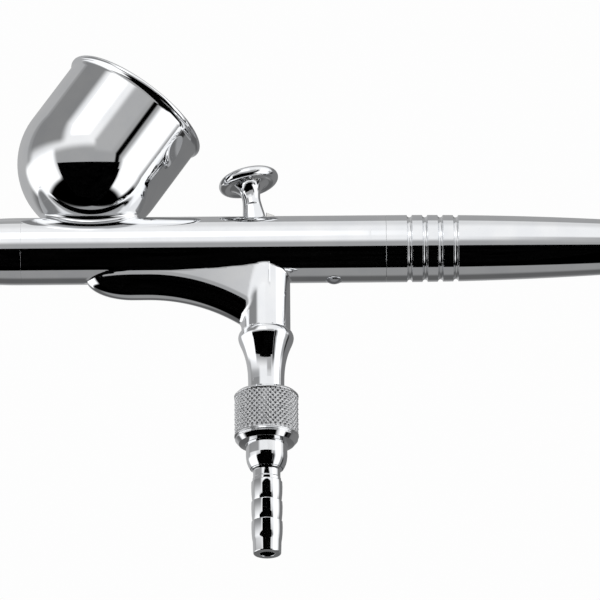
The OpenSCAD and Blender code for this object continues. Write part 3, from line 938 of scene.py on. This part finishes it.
add_turned("packing_gland", "needle_packing", gland, seg=64)
hollow_screw = [(-16.2, 0.8), (-16.2, 2.2), (-11.4, 2.2), (-11.4, 0.8)]
add_turned("packing_nut", "packing_screw", hollow_screw, seg=64, soft=0.12)
needle = [(-61.5, 0.0), (-61.5, 0.06, 0), (-47, 0.7), (67.4, 0.7), (68, 0.4, 0.1), (68, 0.0)]
add_turned("paint_needle", "needle", needle, seg=48)
add_piece(
    "needle_guide", [net(tube_shape, (2.3, -4.8, -4.8), (50.8, 4.8, 4.8), 0.2)], "needle_tube"
)
pin = lathe([(-3.2, 0.0), (-3.2, 0.6), (3.2, 0.6), (3.2, 0.0)], "z", 40, 0.08)
add_piece("lever_cross_pin", [placed(pin, spot(4.4, 2.4, ACROSS))], "lever_pin")
add_piece(
    "rocking_lever",
    [net(lever_shape, (1.7, -2.1, 4.9), (8.2, 2.1, 14.9), 0.1, ON_TRIGGER)],
    "back_lever",
)

# each spring gets a mesh of its own
wire = placed(coil(2.7, 0.28, 0.02, 32.78, 12), spot(6.8, 0, turning(math.pi / 2)))
spring = add_piece("return_spring", [wire], "needle_spring")
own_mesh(spring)
housing = [(11.2, 3.5), (11.2, 4.28), (27, 4.28), (27, 4.6), (28.4, 4.6, 0.15), (28.4, 3.9)]
housing += [(41, 3.9, 0.3), (41, 2.05), (39.6, 2.05), (39.6, 3.5)]
add_turned("spring_housing", "spring_case", housing, seg=96)
add_piece("needle_chuck", [chuck_nut()], "chuck_nut")
add_piece(
    "trigger_button",
    [net(trigger_shape, (-6.3, -6.3, -2.1), (6.3, 6.3, 23.2), TRIGGER_GRID, ON_TRIGGER)],
    "trigger",
)
pin = lathe([(-2.2, 0.0), (-2.2, 0.7), (2.2, 0.7), (2.2, 0.0)], "z", 40, 0.08)
add_piece("trigger_cross_pin", [placed(pin, spot(0, PIVOT, ACROSS))], "trigger_pin")
add_piece(
    "forked_plunger", [net(plunger_shape, (-3.1, -3.1, -19.8), (3.1, 3.1, -5.9), 0.14)], "plunger"
)
poppet = [(-19.3, 0.0), (-19.3, 0.9), (-20, 0.9), (-20, 1.9), (-21.2, 1.9), (-21.2, 0.8)]
poppet += [(-23.6, 0.8), (-23.6, 0.0)]
add_turned("poppet_stem", "valve_poppet", poppet, "z", 64)
add_turned("poppet_o_ring", "poppet_seal", o_ring(-19.62, 1.3, 0.38), "z", seg=72)
wire = placed(coil(1.4, 0.2, 0.02, 6.18, 5), spot(0, -27.4))
spring = add_piece("closing_spring", [wire], "valve_spring")
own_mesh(spring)
guide = [(-27.4, 0.9), (-27.4, 2.2), (-30, 2.2), (-30, 0.9)]
add_turned("spring_guide_screw", "valve_screw", guide, "z", 64)
add_turned("waisted_valve_body", "valve_body", valve_body_outline(), "z", 128)
add_piece("knurled_union_nut", [union_nut()], "union_nut", material=knurled_chrome())
add_turned("barbed_nipple", "hose_nipple", nipple_outline(), "z", 128)
washer = [(-31.6, 1.6), (-31.6, 3.6), (-32.2, 3.6), (-32.2, 1.6)]
add_turned("nipple_washer", "nipple_seal", washer, "z", 72)


# ---------------------------------------------------------------- studio
scene = bpy.context.scene
world = bpy.data.worlds.new("studio")
scene.world = world
world.use_nodes = True
tree = world.node_tree
tree.nodes.clear()
k = Nodes(tree)
coords = tree.nodes.new("ShaderNodeTexCoord")
sep = tree.nodes.new("ShaderNodeSeparateXYZ")
link(tree, coords.outputs["Generated"], sep.inputs[0])
dx, dy, dz = sep.outputs
DEG = 180 / math.pi
el = k.math("MULTIPLY", k.math("ARCSINE", dz), DEG)
az = k.math("MULTIPLY", k.math("ARCTAN2", dx, k.math("MULTIPLY", dy, -1.0)), DEG)
away = k.math("ABSOLUTE", az)


def panel(base, value, az_span, el_span):
    """A panel of this brightness; each span is (from, to, softness) in degrees."""
    mask = k.math("MULTIPLY", k.window(az, *az_span), k.window(el, *el_span))
    return k.over(base, value, mask)


# the front sky is grey down to the black card, and white overhead
sky = k.ramp(el, -34, -28, 0.0, 0.38)
sky = k.math("ADD", sky, k.ramp(el, 0, 14, 0.0, 0.60))
sky = k.over(sky, 0.78, k.ramp(el, 56, 78))
sky = panel(sky, 0.45, (6, 33, 4), (-2, 18, 4))
# behind the object it is an even grey, darkest under the horizon
back = k.ramp(el, -24, 4, 0.12, 0.38)
back = k.over(back, 0.30, k.ramp(el, -44, -60))
level = k.over(sky, back, k.ramp(away, 96, 112))
for value, az_span, el_span in [
    (0.46, (-175, -114, 4), (-6, 70, 6)),
    (0.20, (106, 172, 6), (-30, 44, 8)),
    # bright panels at both sides
    (1.25, (-122, -58, 5), (-33, 9, 4)),
    (0.25, (-110, -42, 8), (16, 64, 7)),
    (1.25, (50, 87, 4), (-52, 34, 5)),
    # the gap between the right panel and the front, and the one behind it
    (0.0, (37.5, 44, 1.5), (-60, 10, 10)),
    (0.03, (102, 112, 2), (-60, 5, 8)),
    # a small bright lamp overhead on the left
    (2.2, (-30, -2, 5), (26, 44, 5)),
]:
    level = panel(level, value, az_span, el_span)

shine = tree.nodes.new("ShaderNodeBackground")
link(tree, level, shine.inputs["Strength"])
shine.inputs["Color"].default_value = (0.985, 0.99, 1.0, 1)
plain = tree.nodes.new("ShaderNodeBackground")
plain.inputs["Color"].default_value = (1.0, 1.0, 1.0, 1)
plain.inputs["Strength"].default_value = 0.985
path = tree.nodes.new("ShaderNodeLightPath")
mix = tree.nodes.new("ShaderNodeMixShader")
out = tree.nodes.new("ShaderNodeOutputWorld")
link(tree, path.outputs["Is Camera Ray"], mix.inputs[0])
link(tree, shine.outputs[0], mix.inputs[1])
link(tree, plain.outputs[0], mix.inputs[2])
link(tree, mix.outputs[0], out.inputs["Surface"])

# ---------------------------------------------------------------- floor, cards and lights
def plane(name, corners, material):
    mesh = bpy.data.meshes.new(name)
    mesh.from_pydata([tuple(c * MM for c in p) for p in corners], [], [(0, 1, 2, 3)])
    obj = bpy.data.objects.new(name, mesh)
    mesh.materials.append(material)
    scene.collection.objects.link(obj)
    return obj


FLOOR = -365  # the floor's level
REACH = 3000  # how far it goes on each side
floor_paint = dull("floor_paint", (0.88, 0.88, 0.88), (0.91, 0.91, 0.91), (0.6, 0.75), 8, 0.02)
square = [(-REACH, -REACH), (REACH, -REACH), (REACH, REACH), (-REACH, REACH)]
floor = plane("floor", [(x, y, FLOOR) for x, y in square], floor_paint)
floor.visible_glossy = False
black = dull("black_flock", (0.0, 0.0, 0.0), (0.002, 0.002, 0.002), (0.9, 1.0), 60, 0.02)
black.node_tree.nodes["Principled BSDF"].inputs["Specular IOR Level"].default_value = 0.0


def black_card(name, x0, x1, y, top):
    """A card that stands on the floor in front of the gun, seen only in its reflections."""
    foot = FLOOR + 1
    card = plane(name, [(x0, y, foot), (x1, y, foot), (x1, y, top), (x0, y, top)], black)
    card.visible_camera = False
    card.visible_diffuse = False
    card.visible_shadow = False


black_card("wide_black_card", -190, 85, -118, AXIS - 25)
black_card("near_black_card", -40, 30, -60, AXIS - 20)


def area_light(name, at, size, power):
    """A soft light that looks at the gun and doesn't show in its chrome."""
    data = bpy.data.lights.new(name, "AREA")
    data.size = size
    data.energy = power
    obj = bpy.data.objects.new(name, data)
    obj.location = at
    obj.rotation_mode = "QUATERNION"
    obj.rotation_quaternion = (Vector((0, 0, 0.05)) - Vector(at)).to_track_quat("-Z", "Y")
    obj.visible_glossy = False
    obj.visible_camera = False
    scene.collection.objects.link(obj)


area_light("soft_key", (-0.5, -0.6, 0.9), 0.8, 9)
area_light("soft_fill", (0.7, 0.4, 0.8), 0.8, 5)

# ---------------------------------------------------------------- camera
ELEVATION = math.radians(-22)
ROLL = math.radians(-0.46)
DISTANCE = 1.0
VIEW_WIDTH = 0.10676  # across the picture, at the target
TARGET = Vector((0.006085, 0, 0.04787))
SENSOR = 36

camera_data = bpy.data.cameras.new("camera")
camera_data.sensor_width = SENSOR
camera_data.lens = SENSOR * DISTANCE / VIEW_WIDTH
camera_data.clip_start, camera_data.clip_end = 0.01, 20
camera = bpy.data.objects.new("camera", camera_data)
scene.collection.objects.link(camera)
scene.camera = camera
to_camera = Vector((0, -math.cos(ELEVATION), math.sin(ELEVATION)))
camera.location = TARGET + to_camera * DISTANCE
camera.rotation_mode = "QUATERNION"
level_view = (-to_camera).to_track_quat("-Z", "Y")
camera.rotation_quaternion = level_view @ Quaternion((0, 0, 1), ROLL)

scene.view_settings.view_transform = "Standard"
scene.view_settings.look = "None"
